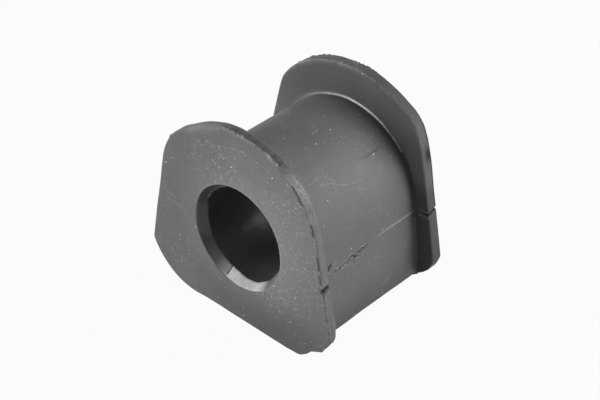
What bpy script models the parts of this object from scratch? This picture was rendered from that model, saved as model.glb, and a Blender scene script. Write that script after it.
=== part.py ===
"""Sway bar bushing: one piece of moulded rubber.

The bar passes along Y through the bore. A saddle bracket wraps the body,
and the flange at each end keeps the bushing from sliding out of it.
The flat feet of the flanges stand on Z = 0, and the middle of the
bushing's length is at Y = 0. Lengths are in metres.
"""
from math import acos, atan2, cos, pi, sin, sqrt

import bmesh
import bpy
from mathutils import Matrix, Vector

MM = 0.001

# Bar, and the bore that grips it with a conical lead-in at both ends
BAR_RADIUS = 12.5 * MM
BORE_CLEARANCE = 0.1 * MM
MOUTH_FLARE = 1.4 * MM
MOUTH_DEPTH = 2.6 * MM

# Lengths along the bar
TOTAL_LENGTH = 43.3 * MM
FLANGE_THICKNESS = 3.2 * MM

# Body: rubber over and under the bore, and the arc that the bracket wraps
WALL_OVER_BORE = 8.2 * MM
WALL_UNDER_BORE = 10.6 * MM
ARC_DROP = 1.4 * MM
BODY_FLARE = 2.0 * MM

# Flange: how far it stands out past the body, and its own outline
FOOT_STEP = 1.5 * MM
TOP_OVERHANG = 8.7 * MM
SIDE_OVERHANG = 5.3 * MM
SIDE_TAPER = 7.1 * MM
SHOULDER_DROP = 9.9 * MM
SHOULDER_RADIUS = 12.0 * MM
CORNER_HEIGHT = 9.8 * MM
LOWER_ARC_RADIUS = 16.0 * MM

# Roundings: the flanges' rims, and the root where the body meets them
RIM_ROUNDING = 0.5 * MM
ROOT_FILLET = 0.6 * MM

# Steps along each arc of an outline, across a rounding and round the bore
LOWER_ARC_STEPS = 8
SHOULDER_STEPS = 6
FLANGE_TOP_STEPS = 20
BODY_TOP_STEPS = 30
ROUNDING_STEPS = 3
BORE_STEPS = 72

# The cutter reaches past the end faces, and edges over this angle stay sharp
CUTTER_OVERRUN = 2.0 * MM
SHARP_ANGLE = 0.6

# Places worked out from the sizes, with heights above the feet
BORE_RADIUS = BAR_RADIUS + BORE_CLEARANCE
BORE_HEIGHT = FOOT_STEP + WALL_UNDER_BORE + BORE_RADIUS
BODY_TOP_HEIGHT = BORE_HEIGHT + BORE_RADIUS + WALL_OVER_BORE
BODY_ARC_RADIUS = BORE_RADIUS + WALL_OVER_BORE + ARC_DROP
BODY_CORNER_HALF_WIDTH = BODY_ARC_RADIUS + BODY_FLARE
FLANGE_TOP_HEIGHT = BODY_TOP_HEIGHT + TOP_OVERHANG
CORNER_HALF_WIDTH = BODY_CORNER_HALF_WIDTH + SIDE_OVERHANG
SHOULDER_HALF_WIDTH = CORNER_HALF_WIDTH - SIDE_TAPER
SHOULDER_HEIGHT = FLANGE_TOP_HEIGHT - SHOULDER_DROP
END_FACE = TOTAL_LENGTH / 2.0
INNER_FACE = END_FACE - FLANGE_THICKNESS


def clear_scene():
    """Remove what an opened file holds, such as a start-up cube."""
    for item in list(bpy.data.objects):
        bpy.data.objects.remove(item, do_unlink=True)


def rubber_material():
    """Dark grey rubber with a dull bloom on its surface."""
    material = bpy.data.materials.new("moulded_rubber")
    material.use_nodes = True
    shader = material.node_tree.nodes["Principled BSDF"]
    shader.inputs["Base Color"].default_value = (0.13, 0.13, 0.13, 1.0)
    shader.inputs["Roughness"].default_value = 0.6
    shader.inputs["Metallic"].default_value = 0.0
    return material


def angle_of(centre, point):
    """Direction from a centre to a point, as an angle."""
    return atan2(point.y - centre.y, point.x - centre.x)


def arc_points(centre, radius, start_angle, end_angle, steps):
    """Points along an arc, its two ends among them."""
    turn = (end_angle - start_angle) / steps
    angles = [start_angle + turn * step for step in range(steps + 1)]
    return [centre + radius * Vector((cos(a), sin(a))) for a in angles]


def line_meets_circle(point, direction, centre, radius):
    """The crossing of a line and a circle that lies furthest along the line."""
    offset = point - centre
    along = offset.dot(direction)
    half_chord = sqrt(along * along - offset.length_squared + radius * radius)
    return point + direction * (half_chord - along)


def mirrored(right_half):
    """The right half, from the foot to the top, joined to its mirror image."""
    left_half = [Vector((-p.x, p.y)) for p in reversed(right_half[:-1])]
    return right_half + left_half


def lower_arc_centre():
    """The lower arc leaves the foot smoothly and ends at the flange's corner."""
    reach = sqrt(CORNER_HEIGHT * (2.0 * LOWER_ARC_RADIUS - CORNER_HEIGHT))
    return Vector((CORNER_HALF_WIDTH - reach, LOWER_ARC_RADIUS))


def flange_outline(inset):
    """Outline of a flange, moved inwards all round by inset."""
    low_centre = lower_arc_centre()
    low_radius = LOWER_ARC_RADIUS - inset
    corner = Vector((CORNER_HALF_WIDTH, CORNER_HEIGHT))
    shoulder = Vector((SHOULDER_HALF_WIDTH, SHOULDER_HEIGHT))
    upwards = (shoulder - corner).normalized()
    inwards = Vector((-upwards.y, upwards.x))

    # The top arc passes over the middle and through the unrounded shoulders
    top_radius = (SHOULDER_HALF_WIDTH ** 2 / SHOULDER_DROP + SHOULDER_DROP) / 2.0
    top_centre = Vector((0.0, FLANGE_TOP_HEIGHT - top_radius))

    # The shoulder's rounding touches the side line and the top arc
    round_centre = line_meets_circle(corner + inwards * SHOULDER_RADIUS, upwards,
                                     top_centre, top_radius - SHOULDER_RADIUS)
    side_angle = atan2(-inwards.y, -inwards.x)
    top_angle = angle_of(top_centre, round_centre)

    low_end = line_meets_circle(corner + inwards * inset, -upwards, low_centre, low_radius)
    half = arc_points(low_centre, low_radius, -pi / 2.0, angle_of(low_centre, low_end),
                      LOWER_ARC_STEPS)
    half += arc_points(round_centre, SHOULDER_RADIUS - inset, side_angle, top_angle,
                       SHOULDER_STEPS)
    half += arc_points(top_centre, top_radius - inset, top_angle, pi / 2.0,
                       FLANGE_TOP_STEPS)[1:]
    return mirrored(half)


def body_outline(inset):
    """Outline of the body between the flanges, moved inwards by inset."""
    low_centre = lower_arc_centre()
    corner_radius = LOWER_ARC_RADIUS - FOOT_STEP
    across = BODY_CORNER_HALF_WIDTH - low_centre.x
    corner_height = low_centre.y - sqrt(corner_radius ** 2 - across ** 2)
    corner = Vector((BODY_CORNER_HALF_WIDTH, corner_height))

    # The side line runs from the corner up to where it touches the top arc
    top_centre = Vector((0.0, BODY_TOP_HEIGHT - BODY_ARC_RADIUS))
    spread = acos(BODY_ARC_RADIUS / (corner - top_centre).length)
    touch_angle = angle_of(top_centre, corner) + spread
    inwards = -Vector((cos(touch_angle), sin(touch_angle)))
    upwards = Vector((inwards.y, -inwards.x))

    low_radius = corner_radius - inset
    low_end = line_meets_circle(corner + inwards * inset, -upwards, low_centre, low_radius)
    half = arc_points(low_centre, low_radius, -pi / 2.0, angle_of(low_centre, low_end),
                      LOWER_ARC_STEPS)
    half += arc_points(top_centre, BODY_ARC_RADIUS - inset, touch_angle, pi / 2.0,
                       BODY_TOP_STEPS)
    return mirrored(half)


def rounding(radius):
    """Pairs of inset and depth across a quarter round, from its face inwards."""
    angles = [pi / 2.0 * step / ROUNDING_STEPS for step in range(ROUNDING_STEPS + 1)]
    return [(radius * (1.0 - sin(a)), radius * (1.0 - cos(a))) for a in angles]


def lofted(name, outline, stations):
    """A closed solid through one outline at each station along the bar."""
    shape = bmesh.new()
    rings = []
    for along, inset in stations:
        rings.append([shape.verts.new((p.x, along, p.y)) for p in outline(inset)])
    for near, far in zip(rings, rings[1:]):
        for i in range(len(near)):
            shape.faces.new((near[i - 1], near[i], far[i], far[i - 1]))
    shape.faces.new(rings[0])
    shape.faces.new(rings[-1])
    bmesh.ops.recalc_face_normals(shape, faces=shape.faces)
    return finished(name, shape)


def finished(name, shape):
    """Make an object of a bmesh and link it to the scene."""
    mesh = bpy.data.meshes.new(name)
    shape.to_mesh(mesh)
    shape.free()
    piece = bpy.data.objects.new(name, mesh)
    bpy.context.scene.collection.objects.link(piece)
    return piece


def flange(name, side):
    """One flange with a rounded rim, at the end that side points to."""
    rounded = rounding(RIM_ROUNDING)
    outer = [(side * (END_FACE - depth), inset) for inset, depth in rounded]
    inner = [(side * (INNER_FACE + depth), inset) for inset, depth in rounded]
    return lofted(name, flange_outline, outer + inner[::-1])


def body(name):
    """The body, sunk half way into each flange and filleted at its roots."""
    fillet = min(ROOT_FILLET, FOOT_STEP * 0.6)
    middle_of_flange = INNER_FACE + FLANGE_THICKNESS / 2.0
    front = [(-middle_of_flange, -fillet)]
    front += [(depth - INNER_FACE, -inset) for inset, depth in rounding(fillet)]
    rear = [(-along, inset) for along, inset in reversed(front)]
    return lofted(name, body_outline, front + rear)


def bore_cutter(name):
    """A turned plug: the straight bore with a cone at each mouth."""
    cone_slope = MOUTH_FLARE / MOUTH_DEPTH
    cutter_end = END_FACE + CUTTER_OVERRUN
    wide_radius = BORE_RADIUS + MOUTH_FLARE + CUTTER_OVERRUN * cone_slope
    profile = [(-cutter_end, 0.0), (-cutter_end, wide_radius),
               (MOUTH_DEPTH - END_FACE, BORE_RADIUS), (END_FACE - MOUTH_DEPTH, BORE_RADIUS),
               (cutter_end, wide_radius), (cutter_end, 0.0)]
    shape = bmesh.new()
    verts = [shape.verts.new((radius, along, 0.0)) for along, radius in profile]
    edges = [shape.edges.new(pair) for pair in zip(verts, verts[1:])]
    bmesh.ops.spin(shape, geom=verts + edges, cent=(0.0, 0.0, 0.0), axis=(0.0, 1.0, 0.0),
                   angle=2.0 * pi, steps=BORE_STEPS, use_merge=True)
    bmesh.ops.remove_doubles(shape, verts=shape.verts, dist=0.001 * MM)
    bmesh.ops.recalc_face_normals(shape, faces=shape.faces)
    shape.transform(Matrix.Translation((0.0, 0.0, BORE_HEIGHT)))
    return finished(name, shape)


def combine(piece, helper, operation):
    """Join a helper solid to the piece or cut it away, and hide the helper."""
    helper.hide_render = True
    helper.display_type = 'WIRE'
    modifier = piece.modifiers.new(helper.name, 'BOOLEAN')
    modifier.operation = operation
    modifier.object = helper
    modifier.solver = 'EXACT'


def rubber_bushing():
    """The whole moulding: two flanges, the body and the bore through them."""
    piece = flange("rubber_bushing", -1.0)
    combine(piece, body("body_between_flanges"), 'UNION')
    combine(piece, flange("rear_flange", 1.0), 'UNION')
    combine(piece, bore_cutter("bore_with_mouths"), 'DIFFERENCE')
    piece.data.materials.append(rubber_material())
    piece.data.shade_smooth()
    piece.data.set_sharp_from_angle(angle=SHARP_ANGLE)
    return piece


clear_scene()
rubber_bushing()
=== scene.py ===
from math import atan2, cos, pi, radians, sin, sqrt

import bmesh
import bpy
import numpy as np
from mathutils import Matrix, Vector, noise


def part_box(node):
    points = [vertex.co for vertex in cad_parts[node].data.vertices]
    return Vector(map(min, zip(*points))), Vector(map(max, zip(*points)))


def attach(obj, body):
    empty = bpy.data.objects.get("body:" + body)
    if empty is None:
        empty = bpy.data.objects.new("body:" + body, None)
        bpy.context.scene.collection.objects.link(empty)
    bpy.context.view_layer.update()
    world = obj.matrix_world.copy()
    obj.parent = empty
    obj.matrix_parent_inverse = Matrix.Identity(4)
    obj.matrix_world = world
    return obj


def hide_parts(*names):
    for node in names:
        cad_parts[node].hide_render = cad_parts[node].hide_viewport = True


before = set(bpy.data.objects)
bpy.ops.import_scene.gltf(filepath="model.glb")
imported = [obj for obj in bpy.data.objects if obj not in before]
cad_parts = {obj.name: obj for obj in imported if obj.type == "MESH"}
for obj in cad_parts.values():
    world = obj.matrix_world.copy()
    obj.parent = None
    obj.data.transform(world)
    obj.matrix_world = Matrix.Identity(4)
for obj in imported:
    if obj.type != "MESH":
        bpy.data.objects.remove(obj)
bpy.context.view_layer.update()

# Moulded rubber bushing
# One piece of dark grey rubber, pressed in a two-part mould: an arched body with a flange
# at each end and a through bore for the bar. Its blank is turned about the bore's axis and
# then pressed outwards into the arched outlines.

MM = 0.001
low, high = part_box("rubber_bushing")
END_FACE = high.y
FOOT_HEIGHT = low.z
BORE_HEIGHT = 24.7 * MM
BORE_RADIUS = 12.6 * MM
MOUTH_RADIUS = 14.0 * MM
MOUTH_DEPTH = 2.6 * MM
FRONT_THICKNESS = 2.85 * MM
REAR_THICKNESS = 3.4 * MM
FRONT_INNER = FRONT_THICKNESS - END_FACE
REAR_INNER = END_FACE - REAR_THICKNESS

# The blank's own body and rim radii, and the band at a rim or a root that keeps its size
BLANK_BODY = 22.0 * MM
BLANK_RIM = 30.0 * MM
KEPT_BAND = 0.6 * MM

# Profile of the blank: radius, place along the bore and rounding of each corner
CORNERS = [
    (BORE_RADIUS, END_FACE - MOUTH_DEPTH, 0.3 * MM),
    (BORE_RADIUS, MOUTH_DEPTH - END_FACE + 0.8 * MM, 0.0),
    (BORE_RADIUS, MOUTH_DEPTH - END_FACE, 0.22 * MM),
    (MOUTH_RADIUS, -END_FACE, 0.16 * MM),
    (27.0 * MM, -END_FACE, 0.0),
    (BLANK_RIM, -END_FACE, 0.4 * MM),
    (BLANK_RIM, FRONT_INNER, 0.5 * MM),
    (BLANK_BODY, FRONT_INNER, 0.6 * MM),
    (BLANK_BODY, 2.0 * MM, 0.0),
    (BLANK_BODY, REAR_INNER, 0.6 * MM),
    (BLANK_RIM, REAR_INNER, 0.5 * MM),
    (BLANK_RIM, END_FACE, 0.45 * MM),
    (28.4 * MM, END_FACE, 0.0),
    (MOUTH_RADIUS, END_FACE, 0.2 * MM),
]
# Spacing of the stations on the straight run that starts at each corner
SPACINGS = [4.8, 0.9, 0.3, 0.65, 0.27, 0.22, 0.9, 0.5, 0.95, 0.85, 0.28, 0.4, 1.6, 0.75]
ROUNDING_STEPS = 4
MERGE_WITHIN = 0.01 * MM

# Sectors of the spin, each as its end and its steps in degrees, with finer steps at the
# parting lines, the torn edge, the slit in the mouth and the nubs on the lower corner
SPIN_START = -13.0
SECTORS = [(6.0, 0.38), (38.0, 0.72), (60.0, 0.6), (100.0, 0.42), (172.0, 1.2), (188.0, 0.8),
           (238.0, 1.4), (262.0, 0.6), (304.0, 1.2), (334.0, 0.55), (347.0, 0.8)]

profile = bmesh.new()
corner_verts = [profile.verts.new((radius, along, 0.0)) for radius, along, _ in CORNERS]
runs = [profile.edges.new((corner_verts[i - 1], corner_verts[i])) for i in range(1, len(CORNERS))]
runs.append(profile.edges.new((corner_verts[-1], corner_verts[0])))
middles = [((run.verts[0].co + run.verts[1].co) / 2.0, spacing) for run, spacing in zip(runs, SPACINGS)]
for vert, (_, _, rounding) in zip(corner_verts, CORNERS):
    if rounding > 0.0:
        bmesh.ops.bevel(profile, geom=[vert], offset=rounding, offset_type='OFFSET',
                        segments=ROUNDING_STEPS, profile=0.5, affect='VERTICES', material=-1)
for run in list(profile.edges):
    if run.calc_length() > 1.0 * MM:
        middle = (run.verts[0].co + run.verts[1].co) / 2.0
        spacing = min(middles, key=lambda item: (item[0] - middle).length)[1] * MM
        cuts = int(run.calc_length() / spacing)
        bmesh.ops.subdivide_edges(profile, edges=[run], cuts=cuts)

# Each sector is spun from its own copy of the profile, and the sectors are then merged
sector_mesh = bpy.data.meshes.new("sector")
profile.to_mesh(sector_mesh)
profile.free()
blank = bmesh.new()
reached = SPIN_START
for end, step in SECTORS:
    sector = bmesh.new()
    sector.from_mesh(sector_mesh)
    sector.transform(Matrix.Rotation(-radians(reached), 4, 'Y'))
    bmesh.ops.spin(sector, geom=list(sector.verts) + list(sector.edges), cent=(0.0, 0.0, 0.0),
                   axis=(0.0, -1.0, 0.0), angle=radians(end - reached),
                   steps=round((end - reached) / step), use_merge=False)
    spun_mesh = bpy.data.meshes.new("spun_sector")
    sector.to_mesh(spun_mesh)
    sector.free()
    blank.from_mesh(spun_mesh)
    bpy.data.meshes.remove(spun_mesh)
    reached = end
bpy.data.meshes.remove(sector_mesh)
bmesh.ops.remove_doubles(blank, verts=blank.verts, dist=MERGE_WITHIN)
bmesh.ops.recalc_face_normals(blank, faces=blank.faces)


OUTLINE_POINTS = 200


def arc(centre, radius, start, end):
    """Points along an arc in the plane of an end face."""
    turns = np.linspace(start, end, OUTLINE_POINTS)
    return np.column_stack((centre[0] + radius * np.cos(turns), centre[1] + radius * np.sin(turns)))


def level_line(end, foot):
    """Points from the middle of an outline's foot to its end."""
    return np.column_stack((np.linspace(0.0, end, OUTLINE_POINTS), np.full(OUTLINE_POINTS, foot)))


def reach_of(half):
    """Angles about the bore's axis and distances from it, for half an outline."""
    across, up = half[:, 0], half[:, 1] - BORE_HEIGHT
    turns = np.arctan2(up, across)
    order = np.argsort(turns)
    return turns[order], np.hypot(across, up)[order]


def flange_half(width, corner_height, shoulder, shoulder_height, top, foot,
                shoulder_radius, lower_radius):
    """Half a flange's outline: foot, lower arc, leaning side, shoulder and top arc."""
    lower = np.array((width - sqrt((corner_height - foot) * (2.0 * lower_radius + foot - corner_height)),
                      foot + lower_radius))
    corner = np.array((width, corner_height))
    peak = np.array((shoulder, shoulder_height))
    upwards = (peak - corner) / np.linalg.norm(peak - corner)
    inwards = np.array((-upwards[1], upwards[0]))
    drop = top - shoulder_height
    top_radius = (shoulder ** 2 / drop + drop) / 2.0
    crown = np.array((0.0, top - top_radius))

    # The shoulder's rounding touches the side line and the top arc
    start = corner + inwards * shoulder_radius
    offset = start - crown
    along = offset.dot(upwards)
    far = sqrt(along ** 2 - offset.dot(offset) + (top_radius - shoulder_radius) ** 2)
    bend = start + upwards * (far - along)
    touch = atan2(bend[1] - crown[1], bend[0] - crown[0])
    foot_line = level_line(lower[0], foot)
    low_arc = arc(lower, lower_radius, -pi / 2.0, atan2(corner[1] - lower[1], corner[0] - lower[0]))
    shoulder_arc = arc(bend, shoulder_radius, atan2(-inwards[1], -inwards[0]), touch)
    side_line = np.linspace(corner, shoulder_arc[0], OUTLINE_POINTS)
    top_arc = arc(crown, top_radius, touch, pi / 2.0)
    return reach_of(np.vstack((foot_line, low_arc, side_line, shoulder_arc, top_arc)))


def body_half(corner_width, corner_radius, foot, top_height, top_radius, lower):
    """Half the body's outline: foot, lower arc, leaning side and the arc under the bracket."""
    across = corner_width - lower[0]
    corner = np.array((corner_width, lower[1] - sqrt(corner_radius ** 2 - across ** 2)))
    crown = np.array((0.0, top_height - top_radius))
    away = corner - crown
    touch = atan2(away[1], away[0]) + np.arccos(top_radius / np.linalg.norm(away))
    foot_line = level_line(lower[0], foot)
    low_arc = arc(lower, corner_radius, -pi / 2.0, atan2(corner[1] - lower[1], across))
    top_arc = arc(crown, top_radius, touch, pi / 2.0)
    side_line = np.linspace(corner, top_arc[0], OUTLINE_POINTS)
    return reach_of(np.vstack((foot_line, low_arc, side_line, top_arc)))


# The photographed halves aren't quite alike: the left shoulder sags, the rear one is narrow
FRONT_RIGHT = flange_half(29.5 * MM, 9.7 * MM, 22.45 * MM, 43.7 * MM, 54.15 * MM, 0.1 * MM,
                          16.8 * MM, 16.6 * MM)
FRONT_LEFT = flange_half(29.7 * MM, 9.8 * MM, 23.85 * MM, 41.5 * MM, 54.15 * MM, 0.1 * MM,
                         16.2 * MM, 16.2 * MM)
REAR_RIGHT = flange_half(29.15 * MM, 10.5 * MM, 21.85 * MM, 44.3 * MM, 54.5 * MM, FOOT_HEIGHT,
                         14.4 * MM, 12.8 * MM)
REAR_LEFT = flange_half(29.5 * MM, 9.8 * MM, 22.2 * MM, 44.9 * MM, 54.5 * MM, FOOT_HEIGHT,
                        12.2 * MM, 16.0 * MM)
BODY = body_half(24.2 * MM, 14.5 * MM, 1.5 * MM, 45.5 * MM, 22.2 * MM, (14.75 * MM, 16.0 * MM))


def reach(turn, right, left):
    """Distance from the bore's axis to an outline in each direction."""
    mirrored = np.where(turn > 0.0, pi - turn, -pi - turn)
    return np.where(np.abs(turn) <= pi / 2.0, np.interp(turn, *right), np.interp(mirrored, *left))


# Each vertex of the blank keeps its place along the bore and is pressed to its outline
places = np.array([vert.co for vert in blank.verts])
along = places[:, 1]
distance = np.hypot(places[:, 0], places[:, 2])
turn = np.arctan2(places[:, 2], places[:, 0])
degrees = np.degrees(turn)
front_reach = reach(turn, FRONT_RIGHT, FRONT_LEFT)
rear_reach = reach(turn, REAR_RIGHT, REAR_LEFT)
body_reach = reach(turn, BODY, BODY)

# How far the photographed outlines stray from those curves, as (degrees, millimetres)
FRONT_STRAY = [(-180, 0.22), (-168, 0.34), (-156, 0.17), (-140, 0.25), (-132, 0.42), (-121, 0.48),
               (-115, 0.14), (-104, 0.08), (-96, 0.16), (-60, 0.2), (-54, 0.36), (-48, 0.4),
               (-42, 0.16), (-34, 0.05), (-26, 0.0), (0, 0.08), (60, 0.08), (88, 0.12), (92, 0.26),
               (100, 0.22), (104, 0.05), (112, -0.12), (118, -0.32), (124, -0.3), (130, 0.03),
               (140, 0.15), (156, 0.26), (164, 0.3), (172, 0.17), (180, 0.22)]
REAR_STRAY = [(-180, 0.12), (-110, 0.1), (-75, -0.2), (-50, -0.5), (-44, -0.6), (-40, -0.8), (-37, -0.45),
              (-33, 0.03), (-24, 0.17), (-4, 0.22), (28, 0.24), (36, 0.0), (41, 0.08), (46, 0.4),
              (53, 0.46), (60, 0.14), (68, 0.0), (74, 0.12), (80, 0.24), (90, 0.12), (100, 0.22),
              (108, 0.06), (120, -0.05), (126, -0.22), (131, -0.38), (135, -0.36), (140, -0.12),
              (148, 0.05), (156, 0.14), (180, 0.12)]
front_reach = front_reach + np.interp(degrees, *zip(*FRONT_STRAY)) * MM
rear_reach = rear_reach + np.interp(degrees, *zip(*REAR_STRAY)) * MM
flange_reach = np.where(along < 0.0, front_reach, rear_reach)

# The body swells towards its lower rear corner and falls in a little at the upper left
rearwards = np.clip((along - FRONT_INNER) / (REAR_INNER - FRONT_INNER), 0.0, 1.0)
body_stray = np.interp(degrees, (-110.0, -85.0, -30.0, -8.0), (0.0, 1.0, 1.0, 0.0))
body_reach = body_reach + (0.75 * rearwards ** 1.5 - 0.1) * body_stray * MM
body_reach = body_reach - np.interp(degrees, (92.0, 108.0, 145.0, 160.0), (0.0, 0.2, 0.2, 0.0)) * MM

# The end faces and the backs of the flanges are stretched from their inner to their outer
# edge, apart from the kept bands. The bore and its mouths stay as they are.
behind = np.abs(along) < np.where(along < 0.0, END_FACE - FRONT_THICKNESS / 2.0,
                                  END_FACE - REAR_THICKNESS / 2.0)
outside = distance > MOUTH_RADIUS + KEPT_BAND
at_rim = np.maximum(distance - BLANK_RIM + KEPT_BAND, 0.0)
face_share = (distance - at_rim - MOUTH_RADIUS - KEPT_BAND) / (BLANK_RIM - MOUTH_RADIUS - 2.0 * KEPT_BAND)
on_face = MOUTH_RADIUS + KEPT_BAND + at_rim
on_face = on_face + face_share * (flange_reach - MOUTH_RADIUS - 2.0 * KEPT_BAND)
at_root = np.clip(distance - BLANK_BODY, 0.0, KEPT_BAND)
back_share = (distance - at_rim - at_root - BLANK_BODY) / (BLANK_RIM - BLANK_BODY - 2.0 * KEPT_BAND)
on_back = body_reach + at_root + at_rim + back_share * (flange_reach - body_reach - 2.0 * KEPT_BAND)
pressed = np.where(outside, np.where(behind & (distance > BORE_RADIUS + 2.0 * MM), on_back, on_face),
                   distance)


def bump(value, centre, width):
    """A soft hump that is 1 at its centre."""
    return np.exp(-((value - centre) / width) ** 2)


def window(value, start, end, fade):
    """1 between two limits, with a soft start and end."""
    rise = np.clip((value - start) / fade, 0.0, 1.0) * np.clip((end - value) / fade, 0.0, 1.0)
    return rise * rise * (3.0 - 2.0 * rise)


def ragged(scale, seed):
    """An uneven run of teeth and gaps around the bushing, between 0 and 1."""
    samples = np.arange(-180.0, 180.0, 0.1)
    heights = [noise.fractal(Vector((sample * scale, seed, 0.0)), 0.6, 2.0, 4) for sample in samples]
    return np.clip(np.interp(degrees, samples, heights) * 1.6 + 0.45, 0.0, 1.0)


def rough(scale, seed):
    """Uneven patches over the whole surface, between 0 and 1."""
    values = [noise.noise(Vector((a * scale, b * scale + seed, c * scale)))
              for a, b, c in zip(across, along, height)]
    return np.clip(np.array(values) * 1.2 + 0.5, 0.0, 1.0)


def distance_to_path(first, second, path):
    """How far each vertex lies from a path of straight runs, in two coordinates."""
    nearest = np.full(first.shape, np.inf)
    for start, end in zip(path, path[1:]):
        start, run = np.array(start) * MM, (np.array(end) - np.array(start)) * MM
        share = ((first - start[0]) * run[0] + (second - start[1]) * run[1]) / run.dot(run)
        share = np.clip(share, 0.0, 1.0)
        apart = np.hypot(first - start[0] - share * run[0], second - start[1] - share * run[1])
        nearest = np.minimum(nearest, apart)
    return nearest


# How far each vertex lies from the outer edge of its flange, over the end face or the rim
front = along < 0.0
height = BORE_HEIGHT + pressed * np.sin(turn)
across = pressed * np.cos(turn)
from_face = np.where(np.abs(along) > END_FACE - 0.01 * MM, 0.0, END_FACE - np.abs(along))
from_rim = np.where(outside, np.maximum(flange_reach - pressed, 0.0), 1.0)
on_rim = distance > BLANK_RIM - 0.6 * MM
on_flange_front = outside & ((from_face < 0.4 * MM) | on_rim)
from_edge = np.where(on_flange_front, from_face + from_rim, 1.0)
front_edge = np.where(front, from_edge, 1.0)
rear_edge = np.where(front, 1.0, from_edge)

# What the surface shows besides its shape, for the material: torn and worn rubber, painted light and painted
# highlights are pale;
# grime and painted shade are dark. Pressed is a vertex's distance from the axis, and pushed its shift along
# it.
marks = {name: np.zeros(pressed.shape) for name in ("torn_and_highlight", "wear_and_light", "shade_and_grime")}
pushed = np.zeros(pressed.shape)
fine_patches = rough(1500.0, 2.0)


def note(name, amount):
    """Mark the surface for the material, wherever that is more than it has."""
    marks[name] = np.maximum(marks[name], amount)



# Lower right corner of the front flange: two nubs of flash with a hollow between them, and
# a rounded back edge
corner_share = np.exp(-from_rim / (1.2 * MM)) * window(from_face, -1.0, 2.6 * MM, 1.2 * MM)
corner_shape = (0.42 * bump(degrees, -50.5, 2.4) - 0.62 * bump(degrees, -41.2, 3.3)
                + 0.28 * bump(degrees, -36.0, 0.9) + 0.12 * bump(degrees, -27.0, 1.0)) * MM
pressed += np.where(front, corner_shape * corner_share, 0.0)
back_edge = np.where(front & on_rim, np.clip((from_face - 1.2 * MM) / (1.6 * MM), 0.0, 1.0), 0.0)
pressed -= 0.95 * MM * back_edge * bump(degrees, -31.5, 5.5)
pressed += 0.5 * MM * bump(degrees, 138.8, 0.9) * np.exp(-(front_edge / (0.5 * MM)) ** 2)

# Torn flash along the front edge, right of the top, over a hollow darkened with a painted shadow, and finer
# flash along the rear edge
lip = window(degrees, 62.0, 100.0, 3.0) * (0.7 * ragged(0.75, 3.1) ** 2 + 0.6 * ragged(0.17, 7.4))
lip = np.clip(lip + 0.6 * bump(degrees, 81.0, 1.4) + 0.7 * bump(degrees, 70.5, 1.6), 0.0, 1.4)
near_lip = np.exp(-(front_edge / (0.3 * MM)) ** 2)
pressed += 1.05 * MM * lip * near_lip
pushed -= 0.12 * MM * lip * near_lip
pale_lip = np.exp(-(front_edge / (0.45 * MM)) ** 2)
note("torn_and_highlight", 0.8 * lip * pale_lip * (0.2 + fine_patches))
hollow = window(degrees, 56.0, 102.0, 12.0) * window(from_face, 0.2 * MM, 2.5 * MM, 0.5 * MM)
hollow = hollow * front * on_rim * (0.6 + 0.4 * ragged(0.35, 6.6))
pressed -= 0.22 * MM * hollow
# Painted shadow of the flash in the hollow
note("shade_and_grime", 0.72 * hollow * (1.25 - 0.3 * from_face / MM))
rear_lip = window(degrees, 78.0, 136.0, 5.0) * ragged(0.5, 8.7) ** 2 + 0.12 * ragged(0.3, 5.2)
pressed += 0.42 * MM * rear_lip * np.exp(-(rear_edge / (0.4 * MM)) ** 2)

# The front edge is worn to a pale chamfer on the right shoulder and rounded off on the left
chamfers = [(window(degrees, 34.0, 65.0, 6.0), 2.2 * MM, 0.3),
            (window(degrees, 95.0, 134.0, 12.0), 3.0 * MM, 0.19)]
for share, width, depth in chamfers:
    cut = share * depth * np.clip(width - front_edge, 0.0, None) ** 2 / width
    pressed -= cut
    pushed += cut
shoulder = 0.6 * window(degrees, 32.0, 64.0, 7.0) + 0.4 * window(degrees, 41.0, 59.0, 5.0)
shoulder = shoulder * window(front_edge, -1.0, 2.1 * MM, 0.6 * MM)
note("wear_and_light", shoulder * np.where(on_rim, 1.0, 0.5))
note("torn_and_highlight", shoulder * on_rim * (0.4 + 0.2 * rough(420.0, 4.0)))
left_wear = window(degrees, 95.0, 140.0, 6.0) * window(from_face, 0.3 * MM, 3.2 * MM, 0.6 * MM)
note("wear_and_light", 0.15 * left_wear * front * on_rim)

# Both edges of the front rim are ragged and pale at the lower right
low_front = window(degrees, -44.0, 4.0, 5.0) * np.exp(-(front_edge / (0.5 * MM)) ** 2)
note("torn_and_highlight", 0.55 * low_front * ragged(0.8, 4.4))
pressed += 0.12 * MM * low_front * ragged(0.8, 4.4)
low_back = window(degrees, -40.0, -8.0, 6.0) * front * on_rim * bump(from_face, 2.45 * MM, 0.3 * MM)
note("torn_and_highlight", 0.5 * low_back * ragged(0.6, 9.4))
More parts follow.
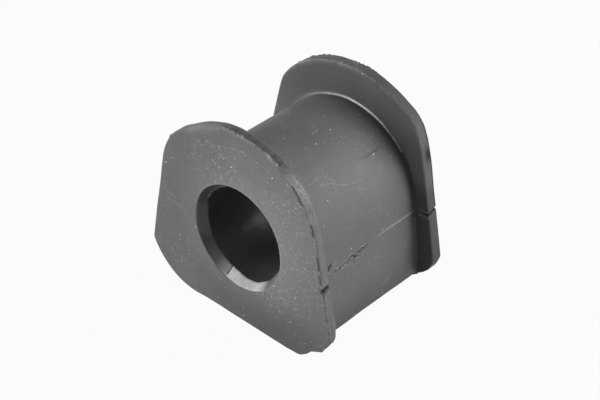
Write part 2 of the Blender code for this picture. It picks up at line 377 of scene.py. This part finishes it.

# Cracks and the notch at the parting line, as paths of (along the bore, height) on the
# right side and of (across, height) on the front face, with width and depth. Their dark is painted shade in
# the gaps.
right_side = (across > 12.0 * MM) & (distance > BLANK_BODY - 0.1 * MM)
rim_or_body = right_side & (np.abs(along) < END_FACE - 0.1 * MM)
SIDE_CRACKS = [
    ([(-0.6, 22.9), (-1.6, 22.5), (-2.4, 22.9), (-3.2, 22.4), (-4.2, 22.75), (-4.9, 22.2),
      (-6.2, 22.8)], 0.2, 0.35),
    ([(-2.6, 22.2), (-4.0, 21.6), (-5.0, 21.9), (-5.9, 21.5)], 0.17, 0.3),
    ([(-6.2, 22.8), (-7.0, 22.3), (-7.4, 22.5), (-7.9, 21.9)], 0.22, 0.35),
    ([(-4.9, 22.0), (-5.0, 21.3), (-5.7, 20.3)], 0.14, 0.2),
    ([(-8.9, 22.2), (-9.5, 21.8)], 0.16, 0.2),
    ([(-10.3, 21.7), (-10.9, 21.8)], 0.28, 0.3),
    ([(-12.2, 22.2), (-12.6, 21.9)], 0.2, 0.25),
    ([(-13.9, 24.3), (-14.3, 23.7), (-14.9, 23.0)], 0.36, 0.4),
    ([(-18.6, 25.6), (-18.8, 24.5), (-19.6, 24.0)], 0.38, 0.7),
    ([(-19.4, 24.0), (-20.4, 23.8), (-21.2, 23.5)], 0.62, 1.0),
    ([(-20.8, 23.7), (-21.6, 23.3)], 0.74, 1.0),
    ([(-21.4, 22.9), (-21.5, 21.7)], 0.2, 0.3),
]
for path, width, depth in SIDE_CRACKS:
    gap = np.exp(-(distance_to_path(along, height, path) / (width * MM)) ** 4) * rim_or_body
    gap = gap * (0.55 + 0.45 * fine_patches)
    pressed -= depth * MM * gap
    # Painted shade in the crack
    note("shade_and_grime", 1.15 * gap)
    lifted = bump(distance_to_path(along, height, path), (width + 0.3) * MM, 0.22 * MM) * rim_or_body
    lifted = lifted * (along > -15.5 * MM) * np.clip(fine_patches * 3.0 - 1.6, 0.0, 1.0)
    note("torn_and_highlight", 0.9 * lifted)
FACE_CRACKS = [
    ([(16.6, 48.3), (18.0, 46.9), (19.2, 45.3), (19.8, 44.6)], 0.16, 0.3),
    ([(22.4, 40.5), (22.8, 39.3), (23.2, 37.6)], 0.22, 0.35),
    ([(24.5, 32.3), (24.9, 30.5), (25.1, 29.1)], 0.2, 0.3),
    ([(25.4, 27.6), (25.8, 25.4)], 0.16, 0.25),
    ([(26.4, 24.0), (26.2, 23.3)], 0.34, 0.5),
]
on_front_face = (from_face < 0.3 * MM) & front & (distance > MOUTH_RADIUS)
for path, width, depth in FACE_CRACKS:
    gap = np.exp(-(distance_to_path(across, height, path) / (width * MM)) ** 4) * on_front_face
    pushed += depth * MM * gap
    # Painted shade in the crack
    note("shade_and_grime", gap)

# Parting line: a fine ridge along both sides of the body, a seam across the rims, and a
# double seam on the inner face of the rear flange. The seam's groove on the right rim and the groove between
# the double seam are darkened with painted shade.
PARTING_HEIGHT = 23.2 * MM
UPPER_SEAM = 23.95 * MM
LOWER_SEAM = 22.45 * MM
on_body = behind & (distance < BLANK_BODY + 0.3 * MM) & (distance > BLANK_BODY - 1.0 * MM)
seam = bump(height, PARTING_HEIGHT, 0.26 * MM) * on_body
seam_strength = np.where(across > 0.0, 0.15 + 0.85 * window(along, 1.0 * MM, 19.4 * MM, 2.5 * MM), 0.8)
pressed += 0.22 * MM * seam * seam_strength
note("wear_and_light", seam * seam_strength)
note("torn_and_highlight", 0.4 * seam * window(along, 4.0 * MM, 19.4 * MM, 6.0 * MM) * (across > 0.0))
rear_rim = ~front & on_rim
slant = PARTING_HEIGHT + 0.1 * MM + (along - REAR_INNER) * 0.25
rim_seam = np.exp(-((height - slant) / (0.46 * MM)) ** 4) * rear_rim
pressed -= 0.4 * MM * rim_seam
# Painted shade in the seam's groove
note("shade_and_grime", rim_seam * (across > 0.0))
note("wear_and_light", 0.5 * bump(height, slant - 0.75 * MM, 0.25 * MM) * rear_rim)
left_rim = front & on_rim & (across < 0.0)
pressed += 0.12 * MM * bump(height, PARTING_HEIGHT, 0.2 * MM) * left_rim
inner_rear = ~front & behind & (distance > BLANK_BODY + KEPT_BAND) & (distance < BLANK_RIM - 0.2 * MM)
double_seam = (bump(height, UPPER_SEAM, 0.2 * MM) + bump(height, LOWER_SEAM, 0.24 * MM)) * inner_rear
double_seam = np.clip(double_seam, 0.0, 1.0) * (across > 23.4 * MM)
pushed -= 0.14 * MM * double_seam
note("wear_and_light", double_seam)
note("torn_and_highlight", 0.45 * double_seam)
between_seams = bump(height, 23.3 * MM, 0.3 * MM) * inner_rear * (across > 24.0 * MM)
pushed += 0.12 * MM * between_seams
# Painted shade in the groove between the seams
note("shade_and_grime", between_seams)

# A bead of rubber lies in the corner where the body's top meets the rear flange; its pale line and its gleam
# are a painted highlight
root = bump(along, REAR_INNER - 0.12 * MM, 0.14 * MM) * (distance < BLANK_BODY + 0.45 * MM)
bead = root * (distance > BLANK_BODY - 0.1 * MM) * window(degrees, 34.0, 134.0, 14.0)
bead = bead * (0.5 + 0.5 * window(degrees, 30.0, 98.0, 12.0))
pressed += 0.1 * MM * bead
# The bead's pale line is a painted highlight
note("torn_and_highlight", 0.95 * bead)
painted_gleam = 0.95 * bead * window(degrees, 46.0, 124.0, 26.0)

# Painted shade and painted light by place. The corners between the body and the flanges are darkened with
# painted shade, and so are the rear rim's outer edge and most of the rear flange's inner face; a patch on
# the rear rim is dark. The body low at its rear end and the rear rim's top are painted pale as painted
# light, and that flange's inner edge is pale.
near_rear = np.exp(-(np.clip(REAR_INNER - along, 0.0, None) / (2.0 * MM)) ** 2)
near_rear = near_rear * behind * (distance < BLANK_BODY + 0.5 * MM) * (distance > BLANK_BODY - MM)
shade = np.interp(degrees, (-90.0, -60.0, -15.0, 8.0, 60.0, 100.0, 130.0),
                  (0.0, 0.0, 0.05, 0.7, 0.8, 0.7, 0.0))
# Painted shade in the corner at the rear flange
note("shade_and_grime", near_rear * shade * (bead < 0.1))
near_front = np.exp(-(np.clip(along - FRONT_INNER, 0.0, None) / (2.4 * MM)) ** 2)
near_front = near_front * behind * (distance < BLANK_RIM - MM)
fillet = bump(along, REAR_INNER, 0.55 * MM) * behind * (distance < BLANK_BODY + 0.8 * MM)
fillet = fillet * (distance > BLANK_BODY + 0.05 * MM)
wide_edge = window(rear_edge, -1.0, 0.8 * MM, 0.4 * MM)
fine_edge = window(rear_edge, -1.0, 0.5 * MM, 0.3 * MM)
inner_edge = bump(np.hypot(distance - BLANK_RIM, along - REAR_INNER), 0.0, 0.4 * MM)
rim_back = front & on_rim & (from_face > FRONT_THICKNESS - 0.6 * MM)
patch = np.hypot((along - 20.6 * MM) / 1.2, (height - 38.9 * MM) / 1.9)
note("shade_and_grime", 0.95 * bump(patch, 0.0, 1.0 * MM) * rear_rim * (across > 0.0))

# Stretches about the axis: mark, strength, region, first and last angle and fade in degrees. The dark
# stretches are painted shade in corners and on edges and faces turned from the light; the pale ones on the
# body's rear end, the rear flange's inner face, the rear rim's top and the front rim are painted light, and
# the rear flange's inner edge is pale.
STRETCHES = [
    ("wear_and_light", 1.0, near_rear, -75.0, -4.0, 16.0),
    ("shade_and_grime", 0.3, near_front, 44.0, 88.0, 14.0),
    ("shade_and_grime", 0.6, fillet, -75.0, 20.0, 14.0),
    ("shade_and_grime", 1.0, wide_edge, -8.0, 56.0, 10.0),
    ("shade_and_grime", 1.0, fine_edge, -60.0, 80.0, 10.0),
    ("shade_and_grime", 0.3, inner_rear, 55.0, 165.0, 40.0),
    ("shade_and_grime", 0.55, inner_rear, -75.0, 22.0, 18.0),
    ("wear_and_light", 0.4, inner_rear, 12.0, 66.0, 20.0),
    ("torn_and_highlight", 0.5, inner_edge * (0.6 + 0.4 * fine_patches), 8.0, 150.0, 16.0),
    ("shade_and_grime", 0.3, rear_rim, -75.0, 16.0, 8.0),
    ("shade_and_grime", 0.28, rear_rim, 40.0, 92.0, 14.0),
    ("wear_and_light", 1.0, rear_rim * rough(700.0, 5.0), 82.0, 140.0, 12.0),
    ("shade_and_grime", 0.3, rim_back, -25.0, 45.0, 12.0),
    ("wear_and_light", 0.5, front & on_rim, -14.0, 42.0, 8.0),
]
for name, strength, region, start, end, fade in STRETCHES:
    note(name, strength * region * window(degrees, start, end, fade))

# Mouth of the bore: a slit across its cone, low on the left, whose left lip stands proud and which is
# darkened with painted shade, a torn skin on its inner edge, high on the left, and a polished stretch along
# its bottom, painted pale as a highlight
SLIT_ANGLE = -106.0
SLIT_LEAN = 2.5
on_cone = front & (distance > BORE_RADIUS - 0.01 * MM) & (distance < MOUTH_RADIUS + 0.2 * MM)
on_cone = on_cone & (along < MOUTH_DEPTH + 0.05 * MM - END_FACE)
slit_turn = SLIT_ANGLE - SLIT_LEAN * (MOUTH_RADIUS - distance) / (MOUTH_RADIUS - BORE_RADIUS)
from_slit = np.radians(degrees - slit_turn) * distance
slit = bump(from_slit, 0.0, 0.13 * MM) * on_cone
slit = slit * np.clip((MOUTH_RADIUS - 0.25 * MM - distance) / (0.3 * MM), 0.0, 1.0)
lip_left = window(from_slit, -4.0 * MM, -0.1 * MM, 3.0 * MM) * on_cone
fading = np.clip(1.0 + from_slit / (4.5 * MM), 0.0, 1.0) ** 1.3 * (from_slit < 0.0)
mouth_line = window(degrees, -124.0, -106.2, 3.0) * bump(distance, MOUTH_RADIUS, 0.12 * MM) * front
mouth_line = mouth_line * (from_face < 0.6 * MM)
tear = window(degrees, 108.0, 162.0, 8.0) * (0.35 + 0.65 * ragged(0.5, 1.7)) * front
tear = tear * bump(np.hypot(distance - BORE_RADIUS, along - MOUTH_DEPTH + END_FACE), 0.0, 0.45 * MM)
pressed = pressed + 0.45 * MM * slit - 0.14 * MM * lip_left - 0.25 * MM * tear + 0.15 * MM * mouth_line
# Painted shade in the slit
note("shade_and_grime", np.maximum(slit, 0.8 * mouth_line))
note("torn_and_highlight", 0.8 * tear)
# The polished stretch is painted pale as a highlight
polished = window(degrees, -130.0, -47.0, 20.0) * (from_slit > 0.0) * (0.8 + 0.2 * fine_patches)
polished = on_cone * (distance < MOUTH_RADIUS - 0.02 * MM) * np.maximum(polished, 0.36 * fading)
polished = np.maximum(polished, painted_gleam)
# A pale line along the mouth's upper edge, worn and painted as a highlight
mouth_edge = front * bump(distance, MOUTH_RADIUS + 0.12 * MM, 0.25 * MM) * (from_face < 0.2 * MM)
note("wear_and_light", 0.6 * mouth_edge * window(degrees, -20.0, 165.0, 25.0))

# How far the mouth strays from a round cone, as (degrees, millimetres at its outer edge,
# millimetres at its inner edge). This fades out over the face and down the bore.
MOUTH_STRAY = [(-180, 0.0, -0.35), (-160, 0.0, -0.35), (-150, 0.0, -0.05), (-130, 0.1, -0.1),
               (-112, 0.15, 0.1), (-98, 0.15, 0.2), (-88, 0.2, 0.7), (-72, 0.15, 0.7), (-62, 0.05, 0.2),
               (-54, 0.0, 0.0), (-44, -0.2, -0.3), (-32, -0.4, -0.7), (-22, -0.5, -0.5),
               (-8, -0.42, -0.42), (12, -0.38, -0.38), (24, -0.15, -0.15), (40, 0.05, 0.05),
               (60, 0.26, 0.2), (90, 0.25, 0.1), (125, 0.2, 0.05), (140, 0.2, 0.2), (156, 0.05, 0.35),
               (164, 0.0, 0.05), (172, 0.0, -0.33), (180, 0.0, -0.35)]
stray_angles, outer_stray, inner_stray = np.array(MOUTH_STRAY).T
inwards = np.clip((MOUTH_RADIUS - distance) / (MOUTH_RADIUS - BORE_RADIUS), 0.0, 1.0)
outwards = np.clip((distance - MOUTH_RADIUS) / (3.0 * MM), 0.0, 1.0)
deeper = np.clip((from_face - MOUTH_DEPTH - 0.9 * MM) / (6.0 * MM), 0.0, 1.0)
stray = (1.0 - inwards) * np.interp(degrees, stray_angles, outer_stray)
stray = (stray + inwards * np.interp(degrees, stray_angles, inner_stray)) * (1.0 - outwards) * (1.0 - deeper)
pressed += stray * MM * np.where(front & ~(behind & outside), 1.0, 0.0)

# The surface of the moulding is nowhere quite even
uneven = (rough(160.0, 0.0) - 0.5) * 0.1 * MM
pressed += uneven * outside
pushed += uneven * (from_face < 0.1 * MM)

for vert, radius, angle, station in zip(blank.verts, pressed, turn, along + pushed):
    vert.co = (radius * cos(angle), station, BORE_HEIGHT + radius * sin(angle))

mesh = bpy.data.meshes.new("moulded_bushing")
blank.to_mesh(mesh)
blank.free()
mesh.shade_smooth()
inside = (distance < BORE_RADIUS + 0.35 * MM) & (np.abs(along) < END_FACE - MOUTH_DEPTH + 0.2 * MM)
# The left and upper part of the mouth's cone is darkened with painted shade
mouth = (distance < MOUTH_RADIUS + 0.05 * MM) & ~inside
mouth = mouth * np.interp(degrees, (-142.0, -108.0, 10.0, 50.0), (1.0, 0.0, 0.0, 1.0))
marks.update(inside=inside, mouth=mouth, polished=polished)
for name, values in marks.items():
    attribute = mesh.attributes.new(name, 'FLOAT', 'POINT')
    attribute.data.foreach_set("value", np.clip(values, 0.0, 1.0).astype(np.float32))
bushing = bpy.data.objects.new("moulded_bushing", mesh)
bpy.context.scene.collection.objects.link(bushing)


class Socket:
    """One output in a material. Sums on it add the Math nodes that work them out."""

    def __init__(self, tree, output=None):
        self.tree = tree
        self.output = output

    def node(self, kind, settings, inputs, result=0):
        """Add a node: its settings first, then the values or links of its sockets."""
        new = self.tree.nodes.new(kind)
        for name, value in settings.items():
            setattr(new, name, value)
        for name, value in inputs.items():
            if isinstance(value, Socket):
                self.tree.links.new(value.output, new.inputs[name])
            else:
                new.inputs[name].default_value = value
        return Socket(self.tree, new.outputs[result])

    def other(self, result):
        """Another output of the same node."""
        return Socket(self.tree, self.output.node.outputs[result])

    def math(self, operation, first, second=0.0, clamp=False):
        return self.node("ShaderNodeMath", {"operation": operation, "use_clamp": clamp},
                         {0: first, 1: second})

    def __add__(self, other):
        return self.math('ADD', self, other)

    def __radd__(self, other):
        return self.math('ADD', other, self)

    def __sub__(self, other):
        return self.math('SUBTRACT', self, other)

    def __rsub__(self, other):
        return self.math('SUBTRACT', other, self)

    def __mul__(self, other):
        return self.math('MULTIPLY', self, other)

    def __rmul__(self, other):
        return self.math('MULTIPLY', other, self)

    def clamped(self):
        return self.math('ADD', self, 0.0, clamp=True)

    def largest(self, other):
        return self.math('MAXIMUM', self, other)

    def between(self, low, high):
        """0 at low and 1 at high, with a soft start and end."""
        return self.node("ShaderNodeMapRange", {"interpolation_type": 'SMOOTHSTEP'},
                         {"Value": self, "From Min": low, "From Max": high})

    def vector(self, operation, first, second=(0.0, 0.0, 0.0), result=0):
        return self.node("ShaderNodeVectorMath", {"operation": operation}, {0: first, 1: second},
                         result)

    def drive(self, socket):
        """Link this output to a socket of the shader."""
        self.tree.links.new(self.output, socket)


rubber = bpy.data.materials.new("bloomed_rubber")
rubber.use_nodes = True
shader = rubber.node_tree.nodes["Principled BSDF"]
paint = Socket(rubber.node_tree)
place = paint.node("ShaderNodeTexCoord", {}, {}, result="Object")
place_x = paint.node("ShaderNodeSeparateXYZ", {}, {"Vector": place})
place_y, place_z = place_x.other(1), place_x.other(2)


def mark(name):
    """What the mesh notes about the surface under a name."""
    return paint.node("ShaderNodeAttribute", {"attribute_name": name}, {}, result="Fac")


def cloud(scale, detail=3.0, roughness=0.55, vector=place):
    """Soft noise about 0.5, of a scale per metre."""
    return paint.node("ShaderNodeTexNoise", {}, {"Vector": vector, "Scale": scale, "Detail": detail,
                                                 "Roughness": roughness})


def near(point, inner, outer):
    """1 within the inner distance of a point and 0 beyond the outer one, in millimetres."""
    apart = paint.vector('DISTANCE', place, Vector(point) * MM, result="Value")
    return 1.0 - apart.between(inner * MM, outer * MM)


# Dull bloom: broad clouds over fine grain, dustiest on the right of the front face. Painted light makes it
# paler right of the bore, round its mouth and between the flanges, and painted shade makes it darker low
# down.
RUBBER_GREY = 0.13
on_front = 1.0 - place_y.between(-21.5 * MM, -21.2 * MM)
dusty = on_front * place_x.between(-8.0 * MM, 17.0 * MM) * near((14.0, -21.65, 28.0), 8.0, 24.0)
dusty = dusty.largest(near((4.0, 3.0, 45.0), 2.0, 9.0) * 0.5)
clouds = cloud(170.0, 4.0)
grain = cloud(2900.0, 2.0, 0.7)
tone_and_light = 0.95 + (clouds - 0.5) * 0.36 + (grain - 0.5) * 0.6
# Painted light: a pale pool right of the bore and a paler ring round the mouth
tone_and_light = tone_and_light + on_front * near((10.0, -21.65, 32.0), 6.0, 29.0) * 0.45
tone_and_light = tone_and_light + on_front * near((0.0, -21.65, 24.7), 14.5, 22.0) * 0.12
# Painted light on the body between the flanges
between_faces = (1.0 - on_front) * (1.0 - place_y.between(17.6 * MM, 18.3 * MM))
tone_and_light = tone_and_light + between_faces * (0.28 + near((17.0, 4.0, 38.0), 2.0, 12.0) * 0.12)
# Painted shade low down
low_down = (1.0 - place_z.between(1.0 * MM, 17.0 * MM)) * place_x.between(-20.0 * MM, 6.0 * MM)
tone_and_light = tone_and_light - low_down * (0.34 + between_faces * 0.28)
tone_and_light = tone_and_light + (cloud(4600.0, 1.0) - 0.5) * dusty * 0.9

# Curling scuffs, in patches
SCUFF_STRENGTH = 1.0
curls = paint.node("ShaderNodeTexNoise", {}, {"Vector": place, "Scale": 480.0, "Detail": 1.5,
                                              "Roughness": 0.6, "Distortion": 0.8})
curls = (1.0 - curls.math('ABSOLUTE', curls - 0.5) * 15.0).clamped()
patches = near((-7.0, -21.65, 43.0), 3.0, 13.0).largest(near((13.0, -21.65, 15.0), 2.0, 12.0) * 0.6)
patches = patches.largest(near((14.5, -6.0, 40.0), 1.0, 6.0) * 0.6)
patches = patches.largest(cloud(150.0, 2.0).between(0.52, 0.66) * 0.5)
patches = patches * cloud(420.0, 1.0).between(0.42, 0.58)
tone_and_light = tone_and_light + curls * patches * cloud(1100.0).between(0.42, 0.56) * SCUFF_STRENGTH

# Scratches, smudges, the dark dash and the light streaks in the bore, which are a painted reflection, as
# (across, along, height) in millimetres, each with its half width and its strength
SCRATCHES = [
    ([(-3.3, -21.65, 49.2), (-0.4, -21.65, 50.1), (2.1, -21.65, 50.4), (5.3, -21.65, 49.7),
      (9.9, -21.65, 48.9)], 0.26, 0.3),
    ([(0.6, -21.65, 49.7), (2.0, -21.65, 50.6), (2.9, -21.65, 49.9)], 0.3, 0.3),
    ([(-19.5, -21.65, 40.0), (-17.4, -21.65, 39.6)], 0.3, 0.14),
    ([(-24.8, -21.65, 27.3), (-20.7, -21.65, 26.6)], 0.6, 0.2),
    ([(-24.7, -21.65, 25.5), (-20.6, -21.65, 24.7), (-16.6, -21.65, 23.7)], 0.65, 0.18),
    ([(-21.1, -21.65, 32.5), (-20.6, -21.65, 30.0)], 0.34, 0.16),
    ([(-12.9, -21.65, 38.7), (-11.0, -21.65, 38.7)], 0.28, 0.42),
    ([(-3.4, -21.65, 42.6), (1.1, -21.65, 44.7)], 0.3, 0.18),
    ([(-10.3, -21.65, 48.0), (-8.7, -21.65, 46.5)], 0.26, 0.14),
    ([(14.1, -8.7, 40.4), (14.8, -5.5, 39.9), (15.3, -4.6, 39.4)], 0.36, 0.26),
    ([(13.2, -6.4, 41.2), (13.6, -5.6, 40.8), (14.8, -4.2, 39.9)], 0.26, 0.24),
    ([(15.9, -3.6, 38.8), (16.3, -1.9, 38.3)], 0.3, 0.5),
    ([(16.7, 0.1, 37.9), (17.0, 3.3, 37.5)], 0.24, 0.24),
    ([(14.6, -7.8, 40.0), (15.5, -8.0, 39.2)], 0.26, 0.26),
    ([(15.0, 4.0, 39.6), (15.6, 5.2, 39.0)], 1.3, 0.13),
    ([(14.6, -7.0, 40.0), (15.0, -5.0, 39.5)], 1.2, 0.08),
    ([(14.1, 7.6, 40.4), (14.1, 11.6, 40.4)], 0.55, -0.36),
    ([(14.1, 11.6, 40.4), (14.0, 13.6, 40.5)], 0.34, -0.22),
    ([(13.8, 5.0, 40.8), (14.1, 7.6, 40.4)], 0.34, -0.14),
    ([(22.2, -13.6, 24.0), (22.2, -11.8, 24.3)], 0.5, 0.28),
    # Painted reflection: two light streaks on the bore's wall
    ([(-9.3, -9.0, 16.1), (-9.4, -3.0, 16.2)], 1.8, 0.9),
    ([(-9.2, -4.0, 16.0), (-9.0, 3.0, 15.8)], 3.4, 1.8),
]
for path, width, strength in SCRATCHES:
    for start, end in zip(path, path[1:]):
        start, run = Vector(start) * MM, (Vector(end) - Vector(start)) * MM
        from_start = paint.vector('SUBTRACT', place, start)
        share = (paint.vector('DOT_PRODUCT', from_start, run, result="Value")
                 * (1.0 / run.length_squared)).clamped()
        nearest = paint.node("ShaderNodeVectorMath", {"operation": 'SCALE'}, {0: run, "Scale": share})
        apart = paint.vector('DISTANCE', from_start, nearest, result="Value")
        tone_and_light = tone_and_light + (1.0 - (apart * (1.0 / (width * MM))).between(0.2, 1.0)) * strength

# Dust: the specks that stand out, then two finer scatters
SPECKS = [
    (-1.8, -21.65, 44.6), (-5.7, -21.65, 45.2), (-5.7, -21.65, 48.4), (10.8, -21.65, 47.6),
    (18.4, -21.65, 44.5), (18.5, -19.8, 47.9), (11.9, -21.65, 17.1), (11.2, -21.65, 10.6),
    (14.3, -21.65, 14.8), (-23.8, -21.65, 35.6), (-21.7, -21.65, 37.9), (19.2, -21.65, 44.0),
    (3.1, 2.4, 45.3), (18.0, -21.65, 43.0), (-19.9, -21.65, 15.4), (4.8, 5.4, 45.0),
    (-19.8, -21.65, 7.1), (-14.2, -21.65, 20.9), (22.2, -6.2, 25.0), (-7.0, -21.65, 2.6),
    (18.7, -21.65, 17.5), (22.3, 5.5, 24.0), (13.7, -21.65, 16.5), (1.9, -21.65, 1.9),
    (14.5, 10.2, 40.1), (22.2, -21.65, 5.3), (17.2, -21.65, 9.2), (6.1, -1.2, 44.6),
    (3.1, 1.1, 45.3), (-6.4, 0.4, 44.6), (3.5, 18.4, 54.2), (5.5, 15.5, 44.8), (0.7, 8.1, 45.5),
    (22.5, -3.3, 21.8), (16.8, -9.2, 37.8),
]
LARGE_EVERY = 3
LARGE_SPECK = 0.21
SMALL_SPECK = 0.15
dust = None
for number, speck in enumerate(SPECKS):
    apart = paint.vector('DISTANCE', place, Vector(speck) * MM, result="Value")
    size = LARGE_SPECK if number % LARGE_EVERY == 0 else SMALL_SPECK
    grainlet = 1.0 - (apart * (1.0 / (size * MM))).between(0.5, 1.0)
    dust = grainlet if dust is None else dust.largest(grainlet)


def scatter(scale, common, radius, gathered):
    """Specks in some cells of a scale per metre, more where it is dusty, and pits in a few."""
    cells = paint.node("ShaderNodeTexVoronoi", {}, {"Vector": place, "Scale": scale}, result="Distance")
    lot = paint.node("ShaderNodeSeparateColor", {}, {"Color": cells.other("Color")})
    rarity = lot.other(1)
    spot = 1.0 - cells.between(radius * 0.5, radius)
    chosen = rarity.math('GREATER_THAN', rarity + dusty * gathered, 1.0 - common)
    pitted = rarity.math('LESS_THAN', rarity, 0.025)
    return spot * chosen * (lot * lot * lot * 0.24 + 0.04), spot * pitted


fine_dust, fine_pits = scatter(1900.0, 0.04, 0.4, 0.32)
coarse_dust, coarse_pits = scatter(900.0, 0.02, 0.26, 0.03)
speckle = (dust * 0.8).largest(fine_dust * 0.9).largest(coarse_dust)

torn_and_highlight_mark, wear_and_light_mark, shade_and_grime_mark = mark("torn_and_highlight"), mark("wear_and_light"), mark("shade_and_grime")
inside_mark, shaded_mouth_mark, polished_mark = mark("inside"), mark("mouth"), mark("polished")

# Greys that the pale marks add, and shares of the grey that the dark ones take; the pale marks carry painted
# light and painted highlights, the dark ones painted shade
WEAR_AND_LIGHT_GREY = 0.06
TORN_AND_HIGHLIGHT_GREY = 0.05
FLECK_GREY = 0.28
# Grey of the painted highlight on the mouth's polished stretch and on the bead
HIGHLIGHT_GREY = 0.6
SHADE_AND_GRIME_SHARE = 0.88
PIT_SHARE = 0.3
INSIDE_SHARE = 0.55
# Share taken by the painted shade on the mouth's cone
MOUTH_SHADE_SHARE = 0.5
flecks = cloud(1800.0).between(0.36, 0.62)
grey = tone_and_light * RUBBER_GREY
grey = grey + wear_and_light_mark * WEAR_AND_LIGHT_GREY + torn_and_highlight_mark * (TORN_AND_HIGHLIGHT_GREY + FLECK_GREY * flecks)
grey = grey * (1.0 - shade_and_grime_mark * SHADE_AND_GRIME_SHARE) * (1.0 - (fine_pits + coarse_pits) * PIT_SHARE)
grey = grey * (1.0 - inside_mark * INSIDE_SHARE) * (1.0 - shaded_mouth_mark * MOUTH_SHADE_SHARE)
grey = grey + polished_mark * HIGHLIGHT_GREY
grey = (grey + speckle * (1.0 - inside_mark * 0.85)).clamped()
colour = paint.node("ShaderNodeCombineColor", {}, {"Red": grey, "Green": grey, "Blue": grey})
colour.drive(shader.inputs["Base Color"])
roughness = 0.55 + (clouds - 0.5) * 0.25 + (grain - 0.5) * 0.2 - shaded_mouth_mark * 0.15 - inside_mark * 0.12
roughness = roughness + shade_and_grime_mark * 0.4
roughness.drive(shader.inputs["Roughness"])
(polished_mark * 0.4).drive(shader.inputs["Coat Weight"])
shader.inputs["Coat Roughness"].default_value = 0.3
shader.inputs["Specular IOR Level"].default_value = 0.3
RELIEF_DEPTH = 0.06 * MM
relief = grain * 0.8 + cloud(700.0, 3.0) * 0.6 + speckle
bumps = paint.node("ShaderNodeBump", {}, {"Strength": 0.5, "Distance": RELIEF_DEPTH, "Height": relief})
bumps.drive(shader.inputs["Normal"])
bushing.data.materials.append(rubber)
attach(bushing, "root")
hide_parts("rubber_bushing")

# Floor
# A plain pale studio sheet under the bushing. The camera sees it nearly white, with the
# bushing's soft shadow.
FLOOR_SIZE = 3.0
SHEET_GREY = 0.45
SEEN_WHITE = 0.95
floor_shape = bmesh.new()
bmesh.ops.create_grid(floor_shape, x_segments=1, y_segments=1, size=FLOOR_SIZE / 2.0)
floor_mesh = bpy.data.meshes.new("floor")
floor_shape.to_mesh(floor_mesh)
floor_shape.free()
floor = bpy.data.objects.new("floor", floor_mesh)
bpy.context.scene.collection.objects.link(floor)
sheet = bpy.data.materials.new("pale_sheet")
sheet.use_nodes = True
sheet.node_tree.nodes["Principled BSDF"].inputs["Base Color"].default_value = (SHEET_GREY,) * 3 + (1.0,)
screen = Socket(sheet.node_tree)
seen = screen.node("ShaderNodeLightPath", {}, {}, result="Is Camera Ray")
seen = (seen + seen.other("Is Glossy Ray") + seen.other("Is Transmission Ray")).clamped()
white = screen.node("ShaderNodeEmission", {}, {"Color": (1.0, 1.0, 1.0, 1.0), "Strength": 1.0})
lit = Socket(sheet.node_tree, sheet.node_tree.nodes["Principled BSDF"].outputs["BSDF"])
shown = screen.node("ShaderNodeMixShader", {}, {0: seen * SEEN_WHITE, 1: lit, 2: white})
shown.drive(sheet.node_tree.nodes["Material Output"].inputs["Surface"])
floor.data.materials.append(sheet)

# Studio light
# Soft square lamps: three low ones at the front and on the left, one overhead in front, and
# two on the right, one of them high behind. The world adds next to nothing.
LAMP_DISTANCE = 0.7


def lamp(name, azimuth, elevation, spread, level):
    """A soft lamp of a given spread in degrees that lights a facing white card to a level."""
    turn, lift = radians(azimuth), radians(elevation)
    away = Vector((cos(lift) * sin(turn), -cos(lift) * cos(turn), sin(lift)))
    data = bpy.data.lights.new(name, 'AREA')
    data.shape = 'SQUARE'
    data.size = 2.0 * LAMP_DISTANCE * np.tan(radians(spread / 2.0))
    data.energy = level * (pi * LAMP_DISTANCE) ** 2
    item = bpy.data.objects.new(name, data)
    item.location = Vector((0.0, 0.0, BORE_HEIGHT)) + away * LAMP_DISTANCE
    item.rotation_euler = away.to_track_quat('Z', 'Y').to_euler()
    bpy.context.scene.collection.objects.link(item)


lamp("front_left", -30.0, 5.5, 26.0, 0.78)
lamp("front", 3.0, 9.0, 30.0, 0.17)
lamp("left", -90.0, 6.0, 26.0, 0.3)
lamp("overhead", -20.0, 66.0, 30.0, 0.23)
lamp("right_back", 138.0, 35.0, 46.0, 0.93)
lamp("right", 116.0, 16.0, 30.0, 0.18)

WORLD_GREY = 0.9
WORLD_STRENGTH = 0.02
world = bpy.data.worlds.new("studio")
world.use_nodes = True
world.node_tree.nodes["Background"].inputs["Color"].default_value = (WORLD_GREY,) * 3 + (1.0,)
world.node_tree.nodes["Background"].inputs["Strength"].default_value = WORLD_STRENGTH
bpy.context.scene.world = world

# Camera
# The photograph's viewing angle, seen from the front right and above.
CAMERA_AZIMUTH = radians(40.616)
CAMERA_ELEVATION = radians(36.316)
CAMERA_ROLL = radians(1.615)
CAMERA_DISTANCE = 309.369 * MM
AIM_RIGHT = -0.418 * MM
AIM_UP = 0.074 * MM
LENS_IN_WIDTHS = 1253.1 / 600.0
SENSOR_WIDTH = 36.0
NEAR_LIMIT = 10.0 * MM

back = Vector((sin(CAMERA_AZIMUTH) * cos(CAMERA_ELEVATION), -cos(CAMERA_AZIMUTH) * cos(CAMERA_ELEVATION),
               sin(CAMERA_ELEVATION)))
right = Vector((cos(CAMERA_AZIMUTH), sin(CAMERA_AZIMUTH), 0.0))
up = back.cross(right)
right, up = (right * cos(CAMERA_ROLL) + up * sin(CAMERA_ROLL),
             up * cos(CAMERA_ROLL) - right * sin(CAMERA_ROLL))
camera_data = bpy.data.cameras.new("camera")
camera_data.sensor_width = SENSOR_WIDTH
camera_data.lens = LENS_IN_WIDTHS * SENSOR_WIDTH
camera_data.clip_start = NEAR_LIMIT
camera = bpy.data.objects.new("camera", camera_data)
camera.location = (Vector((0.0, 0.0, BORE_HEIGHT)) - right * AIM_RIGHT - up * AIM_UP
                   + back * CAMERA_DISTANCE)
camera.rotation_euler = Matrix((right, up, back)).transposed().to_euler()
bpy.context.scene.collection.objects.link(camera)
bpy.context.scene.camera = camera
bpy.context.scene.view_settings.view_transform = 'Standard'
